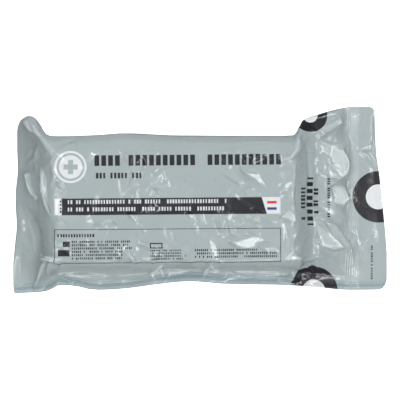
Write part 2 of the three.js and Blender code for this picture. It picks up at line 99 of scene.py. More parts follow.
# Main creases, each a ridge along a few points. left and right are how far its slopes reach.
CREASES = [
    # points, height, left, right
    ([(-111.5, 50), (-103.2, 41.7), (-95.9, 32.6), (-90.6, 28.8)], 2.4, 4, 8),
    ([(-112.4, 17.5), (-110.4, 11), (-109.1, 6.1), (-103.9, 0.3)], 1.5, 1.8, 3),
    ([(-101.5, 19.5), (-99.2, 12), (-98.6, 0.2), (-95.3, -8.3)], 1.9, 1.8, 3.4),
    ([(-105.5, 23), (-104, 15)], 0.9, 2.5, 2),
    ([(-104, 34), (-106, 27), (-110, 24)], 1.2, 3, 2.5),
    ([(-100.8, -37.4), (-89.3, -39)], 2.2, 2.5, 2.5),
    ([(-98.9, -39.4), (-105.3, -56)], 2.6, 1.6, 3),
    ([(-96, -40), (-98, -47), (-104, -56.5)], 1.6, 3, 1.2),
    ([(-97.6, -44.9), (-86.8, -50.6), (-82.9, -52.5)], 1.4, 2, 1.6),
    ([(-32.8, -48.6), (-29, -45.4), (-26, -42.6)], 0.9, 1.2, 2.6),
    ([(-26, -42.6), (-24.6, -45), (-23.8, -49)], 0.8, 2.4, 1.2),
    ([(1.6, -48), (4.6, -44.6), (6.6, -41.8)], 0.9, 1.2, 2.6),
    ([(6.6, -41.8), (9, -44.8), (13.4, -46.8)], 0.8, 2.6, 1.2),
    ([(-113, 50.6), (-110.6, 48.6), (-107, 45.4), (-102, 41.6)], 2.4, 1, 1.5),
    ([(-103, -37.2), (-97, -37.6), (-90.5, -38.4)], 2.4, 1.3, 1.3),
    ([(-100.6, -39), (-103.2, -47), (-106.8, -56)], 1.8, 1.5, 1.2),
    ([(-31.7, 8.3), (-29.1, 11.8), (-24.6, 17.6)], 0.7, 1.6, 4.5),
    ([(-27.8, 13.1), (-20.2, 9.3), (-20.8, 5.4)], 0.6, 1.6, 4.5),
    ([(-66.4, -19.5), (-57.9, -14.7), (-53.6, -17)], 0.8, 1.5, 2.5),
    ([(-43.4, -10.4), (-39.4, -12.5), (-37.4, -17.6), (-34.9, -20.6)], 0.8, 1.5, 2),
    ([(-1.3, -10.6), (-4.2, -12.5), (-4.8, -15)], 0.7, 1.4, 1.4),
    ([(19.5, -8.3), (17, -12.5), (15.4, -16.3)], 0.6, 1.3, 1.6),
    ([(17.6, -17), (25.9, -18.9), (33.6, -22.7), (37.4, -22.1)], 1.3, 2, 6),
    ([(19.5, -25.9), (29.1, -28.5), (36.2, -29.8), (43.8, -31), (48.3, -32.3)], 1.2, 4, 2),
    ([(36.8, -7), (41, -11), (47, -14)], 0.9, 2.5, 3),
    ([(44, 8), (36, 13), (28, 21)], 0.9, 3, 4),
    ([(27, 10), (20, 15), (17, 22)], 0.8, 2, 3),
    ([(-90.8, -11), (-84.8, -15.7)], 0.6, 1.5, 1.8),
    ([(-91, 10), (-86, 6.5), (-87, 3)], 0.7, 1.6, 1.6),
    ([(-60.5, 36.5), (-56.6, 35.8)], 0.4, 1.3, 1.3),
    ([(14, 36.2), (40, 37.3), (60, 36)], 0.35, 1.1, 1.1),
    ([(22, 34), (44, 35), (58, 33.6)], 0.25, 1, 1),
    ([(52.5, 25.7), (57.5, 26.9), (62.3, 31), (63.6, 35.9), (62.3, 40)], 1.6, 5, 2.5),
    ([(72.6, 40.8), (80, 44.6), (88.5, 47), (90, 53.4)], 2, 7, 4),
    ([(92.5, 55.5), (94.2, 47.4), (93.4, 36.8)], 0.8, 2.5, 2.5),
    ([(77.8, 36.8), (82.9, 30.4), (83.4, 20.2), (88, 15)], 0.9, 3, 2),
    ([(77.8, 36.8), (85.4, 35.2), (93.8, 36.4)], 1.2, 2, 5),
    ([(94, 37.5), (95, 28), (93.6, 15)], 3.2, 3.5, 12),
    ([(85, 9.5), (91, 7), (96.5, -2)], 1.4, 6, 5),
    ([(102.4, 32), (112.6, 38.7)], 1.2, 4, 2.5),
    ([(102.4, 32), (107.8, 27.8), (113, 21.4)], 0.9, 3, 2.5),
    ([(85.2, 4.2), (86.7, -4.8)], 0.6, 2, 2.5),
    ([(94.2, 0), (98.2, -9)], 0.7, 2.5, 2),
    ([(76.2, -14.7), (82, -24.5), (95.8, -31), (99.2, -42.6)], 2.6, 10, 9),
    ([(95.8, -31), (88.6, -23.4), (80.2, -12)], 1.8, 6, 3),
    ([(75, -13), (76.5, -25), (75, -37)], 2, 10, 3.5),
    ([(113.5, 56), (114.5, 39)], 2.2, 3, 11),
    ([(55.8, -38.6), (60.7, -33.9), (63.4, -38.7)], 1, 1.8, 1.8),
    ([(63, -40), (73.9, -37.1), (79.7, -37.1)], 1.2, 3, 2.5),
    ([(97.5, -52.2), (101.4, -57.3)], 0.7, 2.5, 2.5),
]

# Places where the film is pulled flat. Each falls by so much for a millimetre towards +X and towards +Y.
FLATS = [
    # corners, fall along X, fall along Y, raised by
    (
        [(-67, -15.5), (-61.5, -12.2), (-56, -12.8), (-52.5, -15.6), (-57, -15), (-62, -15.4)],
        0.24, -0.02, 0.1,
    ),
    ([(-47, -8), (-42.5, -8.6), (-39, -11.5), (-36.5, -18.5), (-39.5, -15.5), (-43, -12)], 0.2, -0.15, 0.1),
    ([(-9, -8.5), (-5, -8.2), (-2, -10.5), (1, -16), (-2.5, -13.2), (-6, -11.8)], 0.16, -0.17, 0.1),
    ([(16, -9.5), (19, -8), (22.5, -8.5), (20.5, -12), (20.8, -16), (17.5, -13.5)], 0.2, 0.06, 0.1),
    (
        [(18, -26.5), (33, -23), (38.5, -24), (44, -27), (37.5, -27.5), (36, -31.5), (24, -30)],
        0.1, -0.18, 0.1,
    ),
    ([(38, -29.5), (44, -30), (49, -29), (52, -33), (47, -32.2), (43, -34)], 0.15, 0.05, 0.1),
    ([(-31.5, 7.5), (-28.5, 13), (-23.5, 18), (-22.5, 13), (-25, 8.5)], 0.17, 0.05, 0.1),
    ([(-26.5, 11), (-21.5, 10), (-20, 4.5), (-23, 5.5)], 0.08, -0.18, 0.1),
    ([(25, 20.5), (29, 16), (34, 13.5), (45, 6), (42, 11.5), (38, 16.5), (31, 18)], 0.19, 0.05, 0.1),
    ([(11, 24), (13.5, 17.5), (18, 14), (26, 9), (23.5, 14.5), (20.5, 19), (15.5, 20.5)], 0.06, 0.13, 0.1),
    ([(50.5, -11), (55, -6.5), (60.5, -8), (61.5, -13.5), (55.5, -12.5)], 0.14, 0.02, 0.2),
    ([(27, 6.5), (33, 8), (38, 5), (36, 2.8), (30, 3)], 0.16, -0.08, 0.1),
    (
        [(77.5, 36.8), (84, 34.5), (92.2, 32.5), (95.4, 24.3), (94.7, 16), (89.6, 13), (82.6, 14.1)],
        0.12, 0.03, 0.6,
    ),
    ([(73, 41.5), (89.6, 53.8), (91, 49), (83.2, 44), (74, 38.6)], 0.11, 0.02, 0.5),
    ([(101.8, 32.4), (112.5, 37.8), (113.2, 32), (107, 31.5)], 0.12, 0.03, 0.5),
    ([(83.8, 8.5), (88, 10), (93.4, 8), (95.4, 0.5), (92, -4), (86.5, -2.5)], 0.125, 0.03, 0.4),
    ([(72, -12), (80.5, -18), (93.4, -30.7), (86, -33), (77, -30)], 0.13, 0.02, 0.5),
    ([(78, -12), (88, -16), (96.5, -29), (93.8, -31), (84, -20.5)], 0.28, 0.16, 0.2),
    ([(55, -37.3), (58.9, -31.6), (60.5, -35.2), (66, -37), (59, -38.9)], 0.1, -0.2, 0.5),
    ([(-91, 11.5), (-87, 12.5), (-84, 7), (-88, 6)], 0.22, 0.04, 0.2),
    (
        [(-101.5, 19.5), (-99.2, 13.6), (-98, 0.2), (-95, -9), (-98.8, -4.7), (-101.3, 5.1)],
        -0.157, -0.05, 0.2,
    ),
    (
        [(-112.6, 17), (-110, 17.3), (-109.4, 8.8), (-103.9, 1.4), (-104.8, -1), (-110.9, 7.5)],
        -0.157, -0.05, 0.2,
    ),
    (
        [(18, -43.5), (25, -44.8), (36, -45), (50, -46.2), (58, -46.4),
         (57, -49), (36, -48.6), (24, -47.6)],
        0.04, -0.31, 0.3,
    ),
    ([(-22.5, -44.6), (-8, -44.8), (-11, -48.6), (-20, -48.8)], 0.04, -0.29, 0.2),
    ([(-87, -46.5), (-66, -47), (-60, -49), (-84, -50.5)], 0.03, -0.26, 0.3),
]
FLAT_REACH = 2.5  # the farthest that a flat place is moved
FLAT_EDGE = 0.6  # over which a flat place joins the film round it

# Grooves: the film is drawn in under the pack's lower edge and beside its corners.
GROOVES = [
    # points, depth, left, right
    ([(-109.1, -9), (-104.6, -20.8), (-103.7, -38), (-106.5, -54)], 3.6, 4, 9),
    (
        [(-97, -37.4), (-88, -44), (-77, -46.5), (-54, -43.2), (-29.8, -44.6), (-9.3, -41.8)],
        1.1, 1.6, 2.5,
    ),
    (
        [(-92, -46), (-78, -47.8), (-60, -47.2), (-30, -46.4),
         (0, -45.6), (40, -45.6), (70, -47)],
        3.2, 3.2, 5,
    ),
    ([(61.5, -32), (66, -39), (74, -44.5)], 1.2, 2, 2),
    ([(66, 40), (69, 30), (69.5, 16), (69, -6)], 0.9, 2.5, 2),
    ([(-93.5, 30), (-86, 36.5), (-78, 39)], 0.9, 2, 2),
]

# Sharp folds along which the film's colour is whitened: painted highlights that stand for the glints on
# these folds.
PAINTED_FOLD_HIGHLIGHTS = [
    # points, share, left, right
    ([(-111.4, 50.2), (-110.2, 46.6), (-108.4, 43.6)], 1, 1.3, 0.9),
    ([(-106.4, 47.8), (-104.6, 44.2), (-102, 41.2)], 1, 0.9, 1.3),
    ([(-102, 41.2), (-96.5, 34.6), (-91.5, 30)], 0.4, 0.9, 0.9),
    ([(-111.6, 16.4), (-112.2, 12.2), (-110.2, 8.4), (-108, 3)], 0.6, 1.2, 0.8),
    ([(-100.4, 17.8), (-101.4, 9), (-99.6, -1), (-96.2, -8.8)], 0.7, 1, 0.8),
    ([(-98.6, 14.6), (-98.4, 5), (-97, -3)], 0.3, 0.8, 0.8),
    ([(-109.8, -13.4), (-107, -23), (-105.4, -33)], 0.3, 1.6, 1),
    ([(-102, -35.4), (-97, -36.8), (-89.4, -38.4)], 1, 1.3, 1.2),
    ([(-101, -37.6), (-92.6, -39.4)], 0.95, 1, 1),
    ([(-99, -40.2), (-103.2, -48.6), (-106.8, -56.4)], 0.75, 0.8, 1.3),
    ([(-24.9, -42.2), (-28.2, -45.6), (-31.8, -48)], 0.9, 1.3, 0.9),
    ([(-24.3, -42), (-24.9, -45.4), (-23.4, -48.8)], 0.9, 0.9, 1.1),
    ([(6.6, -42.2), (4.6, -44.8), (2.2, -47.2)], 0.8, 1.2, 0.9),
    ([(7.2, -42), (9.2, -44.6), (12.6, -46.2)], 0.9, 0.9, 1.2),
    ([(52.4, 25.4), (58, 27.2), (62, 32.5), (63, 38.5)], 0.6, 0.8, 0.8),
    ([(54.6, -37.4), (58.4, -33.6), (62, -29.8)], 0.7, 0.9, 1.5),
    ([(55, -38), (59.5, -36.4), (64, -37.8)], 0.8, 1.3, 0.9),
    ([(77.6, 37.4), (83, 34.6), (92, 33.4)], 0.35, 0.8, 0.8),
    ([(84.2, 34), (82.8, 24), (83.6, 15)], 0.35, 0.8, 0.8),
]

# Random flat facets: their size and seed. A third number is how much is cut off below the crumples.
BROAD_FACETS = (15.0, 21, 0.1)
MIDDLE_FACETS = (9.0, 3, 0.15)
SMALL_FACETS = (4.5, 4, 0.15)
LOOSE_FACETS = (12.0, 7, 0.1)
EDGE_FACETS = (5.0, 18, 0.0)
LOOSE_SLABS = (26.0, 6)
EDGE_SLABS = (9.0, 17)

# How high the random folds stand: in all film, where the face is busy, in the loose film round the pack
# and over the pack's edge beside the tear end.
SWELL = 0.3
FACE_BROAD = 1.6
ALL_MIDDLE, BUSY_MIDDLE, LOOSE_MIDDLE = 0.8, 2.3, 0.5
ALL_SMALL, BUSY_SMALL, EDGE_SMALL = 0.15, 1.5, 0.8
ALL_ARCS, BUSY_ARCS, LOOSE_ARCS = 0.1, 0.45, 0.6
LOOSE_SLAB, EDGE_SLAB = 1.4, 1.3
PLEATS, SMALL_PLEATS = 0.9, 0.4
FACE_RELIEF = 2.6  # how far all of this can stand out of the flat face

# How upright the film's normal is on the flat face, and how lying on the steep sides.
FACE_TILT = (0.86, 0.97)
SIDE_TILT = (0.25, 0.6)

# Where the film has slack to spare, as round patches: round the pack's corners and in the empty stretch.
SLACK = 0.006  # all over, as a share of length
SLACK_PATCHES = [
    # x, y, radius, extra share
    (-95, -40, 22, 0.02),
    (-100, 20, 24, 0.01),
    (30, -22, 32, 0.006),
    (62, 30, 20, 0.01),
    (76, 0, 26, 0.009),
    (72, -35, 24, 0.011),
    (85, 30, 18, 0.005),
    (-30, -46, 14, 0.02),
    (6, -44, 14, 0.02),
]

# The film simulation, from broad folds to small ones.
LEVELS = [
    # share of the points, steps, stiffness, seed, share of the slack
    (0.18, 300, 0.5, 11, 0.85),
    (0.36, 200, 0.3, 23, 0.95),
    (0.72, 80, 0.15, 37, 1.0),
]
START_BUMPS = 0.25  # the first push out of the smooth film, which decides where it folds
CARRY = 0.96  # how much of its speed a point keeps from step to step
SUCTION = 0.0015  # how far a step pulls the film down
EMPTY_ROOM = 0.7  # how far the empty film may go below the smooth wall
RIM_FADE = 8  # the folds grow over so many steps of the grid from the rim


# Grids


def solid_mesh(node):
    """A solid of the frame as a bmesh in millimetres, with its vertices joined."""
    mesh = bmesh.new()
    mesh.from_mesh(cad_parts[node].data)
    bmesh.ops.scale(mesh, vec=(1 / MM,) * 3, verts=mesh.verts)
    bmesh.ops.remove_doubles(mesh, verts=mesh.verts, dist=1e-3)
    mesh.normal_update()
    return mesh


def outline_loop(mesh):
    """The upper edge of a film wall's rim, as points in the order in which they follow each other."""
    upright = 1e-3
    follows = {}
    for edge in mesh.edges:
        rim = [face for face in edge.link_faces if abs(face.normal.z) < upright]
        top = [face for face in edge.link_faces if face.normal.z > upright]
        if len(rim) == 1 and len(top) == 1:
            a, b = edge.verts
            follows.setdefault(a, []).append(b)
            follows.setdefault(b, []).append(a)
    start = next(iter(follows))
    loop, last, here = [start], None, start
    while True:
        ahead = [vert for vert in follows[here] if vert is not last]
        last, here = here, ahead[0]
        if here is start:
            break
        loop.append(here)
    points = np.array([vert.co for vert in loop])
    x, y = points[:, 0], points[:, 1]
    turn = np.sum(x * np.roll(y, -1) - y * np.roll(x, -1))
    return points if turn > 0 else points[::-1]


def points_along(line, share, axes=3):
    """Points along a line, at these shares of its length, which is measured over this many axes."""
    step = np.linalg.norm(np.diff(line[:, :axes], axis=0), axis=1)
    along = np.concatenate([[0], np.cumsum(step)]) / step.sum()
    return np.stack([np.interp(share, along, line[:, k]) for k in range(3)], axis=1)


def plan_grid(loop, u, v):
    """A grid that fills the outline: a Coons patch between its four sides."""
    (left, low), (right, high) = box_low[:2], box_high[:2]
    corners = [(left, low), (right, low), (right, high), (left, high)]
    nearest = [int(np.argmin(np.hypot(*(loop[:, :2] - corner).T))) for corner in corners]
    loop = np.roll(loop, -nearest[0], axis=0)
    a, b, c, d = [(k - nearest[0]) % len(loop) for k in nearest]
    closed = np.vstack([loop, loop[:1]])
    low = points_along(closed[a : b + 1], u, 2)
    right = points_along(closed[b : c + 1], v, 2)
    high = points_along(closed[c : d + 1][::-1], u, 2)
    left = points_along(closed[d:][::-1], v, 2)
    s, t = u[:, None, None], v[None, :, None]
    ruled = (1 - t) * low[:, None] + t * high[:, None] + (1 - s) * left[None] + s * right[None]
    corner = (1 - s) * ((1 - t) * low[0] + t * high[0]) + s * ((1 - t) * low[-1] + t * high[-1])
    return ruled - corner


def drop_on(grid, tree, way):
    """Moves a grid's inner points up or down onto a surface. way is -1 from above and 1 from below."""
    for i in range(1, grid.shape[0] - 1):
        for j in range(1, grid.shape[1] - 1):
            x, y, z = grid[i, j]
            hit = tree.ray_cast(Vector((x, y, -way * FAR)), Vector((0, 0, way)))[0]
            if hit is None:
                hit = tree.find_nearest(Vector((x, y, z)))[0]
            grid[i, j, 2] = hit.z
    return grid


def even_rows(grid, rows):
    """The same surface with this many rows, evenly spaced over it in every column."""
    out = np.empty((len(grid), rows, 3))
    for i, column in enumerate(grid):
        out[i] = points_along(column, np.linspace(0, 1, rows))
    return out


def lifted_off(grid, tree, room):
    """The grid, raised where it comes nearer than this to the surface under it."""
    down = Vector((0, 0, -1))
    for point in grid.reshape(-1, 3):
        hit = tree.ray_cast(Vector((point[0], point[1], FAR)), down)[0]
        if hit is not None:
            point[2] = max(point[2], hit.z + room)
    return grid


def smooth(grid, rounds):
    """Evens out a grid, with its rim held."""
    for _ in range(rounds):
        around = grid[:-2, 1:-1] + grid[2:, 1:-1] + grid[1:-1, :-2] + grid[1:-1, 2:]
        grid[1:-1, 1:-1] += 0.5 * (around / 4 - grid[1:-1, 1:-1])
    return grid


def normals(grid):
    """Unit normals of a grid, which point out of the pouch on its front wall."""
    along = np.gradient(grid, axis=0)
    across = np.gradient(grid, axis=1)
    n = np.cross(along, across)
    return n / np.linalg.norm(n, axis=2, keepdims=True)


def step_up(value, low, high):
    """Rises smoothly from 0 at low to 1 at high."""
    t = np.clip((value - low) / (high - low), 0, 1)
    return t * t * (3 - 2 * t)


def columns_at(count):
    """Shares of the length at which the grid's columns stand, closer together in the seal."""
    fine = np.linspace(0, 1, 2000)
    x = box_low[0] + fine * LENGTH
    extra = step_up(x, SEAL_START - 4, SEAL_START) * (1 - step_up(x, SEAL_END, SEAL_END + 4))
    total = np.cumsum(1 + SEAL_DENSITY * extra)
    return np.interp(np.linspace(0, 1, count), (total - total[0]) / (total[-1] - total[0]), fine)


# Creases and slack


def ridge_heights(table, x, y):
    """How far the ridges of a table stand out of the film."""
    lift = np.zeros_like(x)
    for points, height, left, right in table:
        ridge = np.zeros_like(x)
        points = np.array(points)
        run = np.concatenate([[0], np.cumsum(np.linalg.norm(np.diff(points, axis=0), axis=1))])
        for k, (a, b) in enumerate(zip(points[:-1], points[1:])):
            d = b - a
            size = np.hypot(*d)
            t = np.clip(((x - a[0]) * d[0] + (y - a[1]) * d[1]) / size**2, 0, 1)
            away = np.hypot(x - a[0] - t * d[0], y - a[1] - t * d[1])
            side = d[0] * (y - a[1]) - d[1] * (x - a[0]) > 0
            slope = np.clip(1 - away / np.where(side, left, right), 0, 1)
            share = (run[k] + t * size) / run[-1]
            taper = np.sqrt(np.clip(4 * share * (1 - share), 0, 1)) * 0.6 + 0.4
            ridge = np.maximum(ridge, height * taper * slope**1.3)
        lift += ridge
    return lift


def noise_field(shape, cells, seed):
    """Smooth random numbers from -1 to 1, so many cells along the pouch, or along it and across."""
    rng = np.random.default_rng(seed)
    if not isinstance(cells, tuple):
        cells = (cells, max(2, round(cells * shape[1] / shape[0])))
    cells, across = cells
    coarse = rng.uniform(-1, 1, (cells + 3, across + 3))

    def spread(count, size):
        place = np.linspace(0, size, count)
        k = np.minimum(place.astype(int), size - 1)
        t = place - k
        return k, t * t * (3 - 2 * t)

    i, a = spread(shape[0], cells + 1)
    j, b = spread(shape[1], across + 1)
    a, b = a[:, None], b[None, :]
    low = coarse[np.ix_(i, j)] * (1 - b) + coarse[np.ix_(i, j + 1)] * b
    high = coarse[np.ix_(i + 1, j)] * (1 - b) + coarse[np.ix_(i + 1, j + 1)] * b
    return low * (1 - a) + high * a


def facets(x, y, spacing, seed):
    """Heights from -1 to 1 of a surface made of random flat facets of about this size."""
    rng = np.random.default_rng(seed)
    columns = int(LENGTH / spacing) + 5
    rows = int(WIDTH / spacing) + 5
    i, j = np.meshgrid(np.arange(columns), np.arange(rows), indexing="ij")
    places = np.stack([i, j], axis=-1) + rng.uniform(-0.45, 0.45, (columns, rows, 2)) - 2
    places = places.reshape(-1, 2) * spacing + box_low[:2]
    found = delaunay_2d_cdt([Vector(place) for place in places], [], [], 0, 1e-6)
    corners = [(v.x, v.y, height) for v, height in zip(found[0], rng.uniform(-1, 1, len(found[0])))]
    tree = BVHTree.FromPolygons(corners, found[2])
    down = Vector((0, 0, -1))
    heights = [tree.ray_cast(Vector((a, b, 2)), down)[0] for a, b in zip(x.ravel(), y.ravel())]
    return np.array([hit.z if hit else 0.0 for hit in heights]).reshape(x.shape)


def crumples(x, y, spacing, seed, cut):
    """Only what rises above the cut of random facets, so that sharp crumples stand on smooth film."""
    return np.maximum(facets(x, y, spacing, seed) - cut, 0)


def arcs(shape, cells, seed, reach):
    """Ridges from 0 to 1 along curves that wander over the film. reach is how far their slopes go."""
    field = noise_field(shape, cells, seed)
    step = (LENGTH / (shape[0] - 1), WIDTH / (shape[1] - 1))
    slope = np.hypot(np.gradient(field, step[0], axis=0), np.gradient(field, step[1], axis=1))
    return np.clip(1 - np.abs(field) / np.maximum(slope * reach, 1e-6), 0, 1)


def inside_by(corners, x, y):
    """How far each point is inside a polygon. Outside it the distance is below 0."""
    inside = np.zeros(x.shape, bool)
    near = np.full(x.shape, np.inf)
    for (ax, ay), (bx, by) in zip(corners, corners[1:] + corners[:1]):
        dx, dy = bx - ax, by - ay
        t = np.clip(((x - ax) * dx + (y - ay) * dy) / (dx * dx + dy * dy), 0, 1)
        near = np.minimum(near, np.hypot(x - ax - t * dx, y - ay - t * dy))
        if dy:
            inside ^= ((ay > y) != (by > y)) & (x < ax + dx * (y - ay) / dy)
    return np.where(inside, near, -near)


def flattened(base, lift, slack):
    """The lift and the slack of the film with the flat places worked in."""
    out = normals(base)
    for corners, fall_x, fall_y, raised in FLATS:
        fall = np.array([fall_x, fall_y, 1.0])
        here = base + lift[..., None] * out
        inner = inside_by(corners, here[..., 0], here[..., 1])
        share = step_up(inner, -FLAT_EDGE, FLAT_EDGE)
        level = (here @ fall)[inner > 0].mean() + raised
        flat = (level - base @ fall) / np.maximum(out @ fall, 0.2)
        lift = lift + share * np.clip(flat - lift, -FLAT_REACH, FLAT_REACH)
        slack = slack * (1 - 0.85 * share)
    return lift, slack


def slack_at(x, y):
    """How much longer the film is than the smooth wall, as a share of length."""
    share = np.full_like(x, SLACK)
    for px, py, radius, extra in SLACK_PATCHES:
        share += extra * np.clip(1 - ((x - px) ** 2 + (y - py) ** 2) / radius**2, 0, 1)
    return share


# Film simulation


def pairs_along(shape, axis, start, gap):
    """Slices of the grid that pair points with those gap steps on, no point twice in a slice."""
    whole = slice(None)
    count = math.ceil((shape[axis] - gap - start) / (2 * gap))
    stop = start + 2 * gap * (count - 1) + 1
    first, second = slice(start, stop, 2 * gap), slice(start + gap, stop + gap, 2 * gap)
    return ((whole, first), (whole, second)) if axis else ((first, whole), (second, whole))


def links_of(shape, stiff):
    """Each point's links to its neighbours, and links over two steps, which resist bending."""
    links = []
    for start in (0, 1):
        links += [(*pairs_along(shape, axis, start, 1), 1.0) for axis in (0, 1)]
        (first, _), (second, _) = pairs_along(shape, 0, start, 1)
        links.append(((first, slice(0, -1)), (second, slice(1, None)), 1.0))
        links.append(((first, slice(1, None)), (second, slice(0, -1)), 1.0))
    for axis in (0, 1):
        links += [(*pairs_along(shape, axis, start, 2), stiff) for start in range(4)]
    return links


def relax_film(start, base, base_normal, slack, room, steps, stiff):
    """Lets a film with slack find its folds.

    Each link is as long as on the base plus its slack. The suction pulls the film down onto the base, and
    room says how far below the base it may go at each point.
    """
    links = links_of(start.shape, stiff)
    rests = []
    for a, b, _ in links:
        share = 1 + 0.5 * (slack[a] + slack[b])
        rests.append(np.linalg.norm(base[b] - base[a], axis=2) * share)
    here = start.copy()
    before = here.copy()
    held = np.zeros(start.shape[:2], bool)
    held[[0, -1], :] = True
    held[:, [0, -1]] = True
    for _ in range(steps):
        moved = here + CARRY * (here - before) - SUCTION * base_normal
        before = here
        here = moved
        for (a, b, strength), rest in zip(links, rests):
            d = here[b] - here[a]
            size = np.linalg.norm(d, axis=2)
            fix = (0.5 * strength * (size - rest) / np.maximum(size, 1e-6))[..., None] * d
            here[a] += fix
            here[b] -= fix
        under = np.sum((here - base) * base_normal, axis=2) + room
        here -= np.minimum(under, 0)[..., None] * base_normal
        here[held] = start[held]
    return here


def finer(grid, shape):
    """A grid with more points over the same surface."""
    for axis, count in enumerate(shape):
        place = np.linspace(0, grid.shape[axis] - 1, count)
        k = np.minimum(place.astype(int), grid.shape[axis] - 2)
        t = (place - k).reshape([-1 if n == axis else 1 for n in range(grid.ndim)])
        grid = np.take(grid, k, axis) * (1 - t) + np.take(grid, k + 1, axis) * t
    return grid


def crumpled(base, slack, room, lift):
    """The film wall after its folds have formed, from broad ones to small ones."""
    base_normal = normals(base)
    shape = base.shape[:2]
    base = base + lift[..., None] * base_normal
    offset = np.zeros_like(base)
    for part, steps, stiff, seed, share in LEVELS:
        size = [round(part * n) for n in shape]
        small = finer(base, size)
        small_normal = normals(small)
        below = finer(room, size)
        bumps = START_BUMPS * part**-0.5 * noise_field(size, size[0] // 4, seed)
        start = small + finer(offset, size) + np.maximum(bumps, -below)[..., None] * small_normal
        start[[0, -1]] = small[[0, -1]]
        start[:, [0, -1]] = small[:, [0, -1]]
        done = relax_film(start, small, small_normal, share * finer(slack, size), below, steps, stiff)
        offset = finer(done - small, shape)
    return base + offset


# Meshes


def inner_face(grid, thickness):
    """The face under a film wall's outer one, with half as many columns and rows.

    It stays below every small fold. A negative thickness puts it above.
    """
    low = np.zeros(grid.shape[:2])
    out = normals(grid)
    way = np.sign(thickness)
    for i in (-2, -1, 0, 1, 2):
        for j in (-2, -1, 0, 1, 2):
            beside = np.roll(grid, (i, j), axis=(0, 1))
            below = np.minimum(low, np.sum((beside - grid) * out, axis=2) * way)
            low[2:-2, 2:-2] = below[2:-2, 2:-2]
    inner = grid + (low * way - thickness)[..., None] * out
    for rim in (np.s_[[0, -1]], np.s_[:, [0, -1]]):
        inner[rim] = grid[rim] - (0, 0, thickness)
    return inner[::2, ::2]


def ring_of(index):
    """The indices round the rim of a grid, in order."""
    return np.concatenate([index[:, 0], index[-1, 1:], index[-2::-1, -1], index[0, -2:0:-1]])


def sheet_object(name, grid, thickness, plan):
    """A closed thin sheet: the grid is its outer face, and the inner face lies thickness below it."""
    columns, rows = grid.shape[:2]
    inner = inner_face(grid, thickness)
    points = np.concatenate([grid.reshape(-1, 3), inner.reshape(-1, 3)]) * MM
    index = np.arange(columns * rows).reshape(columns, rows)
    index_in = columns * rows + np.arange(inner.shape[0] * inner.shape[1]).reshape(inner.shape[:2])
    quads = []
    for k, way in ((index, 1), (index_in, -1)):
        corners = np.stack([k[:-1, :-1], k[1:, :-1], k[1:, 1:], k[:-1, 1:]], axis=-1).reshape(-1, 4)
        quads.append(corners[:, ::way])
    quads = np.concatenate(quads)
    ring, ring_in = ring_of(index), ring_of(index_in)
    first, middle, last = ring[::2], ring[1::2], np.roll(ring[::2], -1)
    ahead = np.roll(ring_in, -1)
    rim = np.concatenate([
        np.stack([first, ring_in, middle], axis=-1),
        np.stack([middle, ring_in, ahead], axis=-1),
        np.stack([middle, ahead, last], axis=-1),
    ])
    faces = quads.tolist() + rim.tolist()
    if thickness < 0:
        faces = [face[::-1] for face in faces]
    mesh = bpy.data.meshes.new(name)
    mesh.from_pydata(points.tolist(), [], faces)
    mesh.polygons.foreach_set("use_smooth", [True] * len(faces))
    share = np.concatenate([plan.reshape(-1, 6), plan[::2, ::2].reshape(-1, 6)])
    corners = np.concatenate([np.array(face) for face in faces])
    # The fold layer carries the painted highlight along the sharp folds.
    for layer, part in (("plan", slice(0, 2)), ("side", slice(2, 4)), ("fold", slice(4, 6))):
        values = share[corners, part].astype(np.float32)
        mesh.uv_layers.new(name=layer).uv.foreach_set("vector", values.ravel())
    mesh.update()
    piece = bpy.data.objects.new(name, mesh)
    bpy.context.collection.objects.link(piece)
    return piece


# Film walls


def rim_steps(shape):
    """How many steps of the grid each point is from its rim."""
    i, j = np.indices(shape)
    return np.minimum.reduce([i, shape[0] - 1 - i, j, shape[1] - 1 - j])


def plan_shares(x, y):
    """Where each point is in the plan, and how far from the nearer end and the side seal, as shares."""
    to_end = np.minimum(x - x[:1], x[-1:] - x)
    to_side = np.where(y < 0, y - y[:, :1], y[:, -1:] - y + WIDTH)
    return [(x - box_low[0]) / LENGTH, (y - box_low[1]) / WIDTH, to_end / LENGTH, to_side / WIDTH]


def add_random_folds(lift, x, y, face, empty, flap):
    """Small crumples in clusters on the face, few at its far side, and large ones in the empty film."""
    busy = face * step_up(noise_field(x.shape, 11, 8), -0.1, 0.35) * (1 - 0.8 * step_up(y, 26, 33))
    lift += SWELL * noise_field(x.shape, 9, 5)
    quiet = 1 - 0.7 * step_up(y, 24, 32)
    lift += FACE_BROAD * face * quiet * crumples(x, y, *BROAD_FACETS)
    lift += (ALL_MIDDLE * quiet * (1 - 0.8 * flap) + BUSY_MIDDLE * busy) * crumples(x, y, *MIDDLE_FACETS)
    lift += (ALL_SMALL * (1 - 0.9 * flap) + BUSY_SMALL * busy) * crumples(x, y, *SMALL_FACETS)
    broken = step_up(noise_field(x.shape, 26, 14), 0.0, 0.5)
    lift += (ALL_ARCS + BUSY_ARCS * busy) * broken * arcs(x.shape, 17, 12, 1.0)
    loose = empty * (1 - 0.75 * flap) * np.where(x < 0, 0.35, 0.5)
    wandering = LOOSE_ARCS * broken * arcs(x.shape, 12, 13, 2.0)
    lift += loose * (wandering + LOOSE_MIDDLE * crumples(x, y, *LOOSE_FACETS))
    lift += loose * LOOSE_SLAB * facets(x, y, *LOOSE_SLABS)


def add_edge_folds(lift, x, y):
    """The film is uneven over the pack's edge beside the tear end."""
    edge = step_up(x, pack_high[0] - 11, pack_high[0] - 4)
    edge *= 1 - step_up(x, pack_high[0] + 2, pack_high[0] + 8)
    uneven = EDGE_SLAB * facets(x, y, *EDGE_SLABS) + EDGE_SMALL * crumples(x, y, *EDGE_FACETS)
    lift += edge * (1 - step_up(y, 22, 32)) * uneven


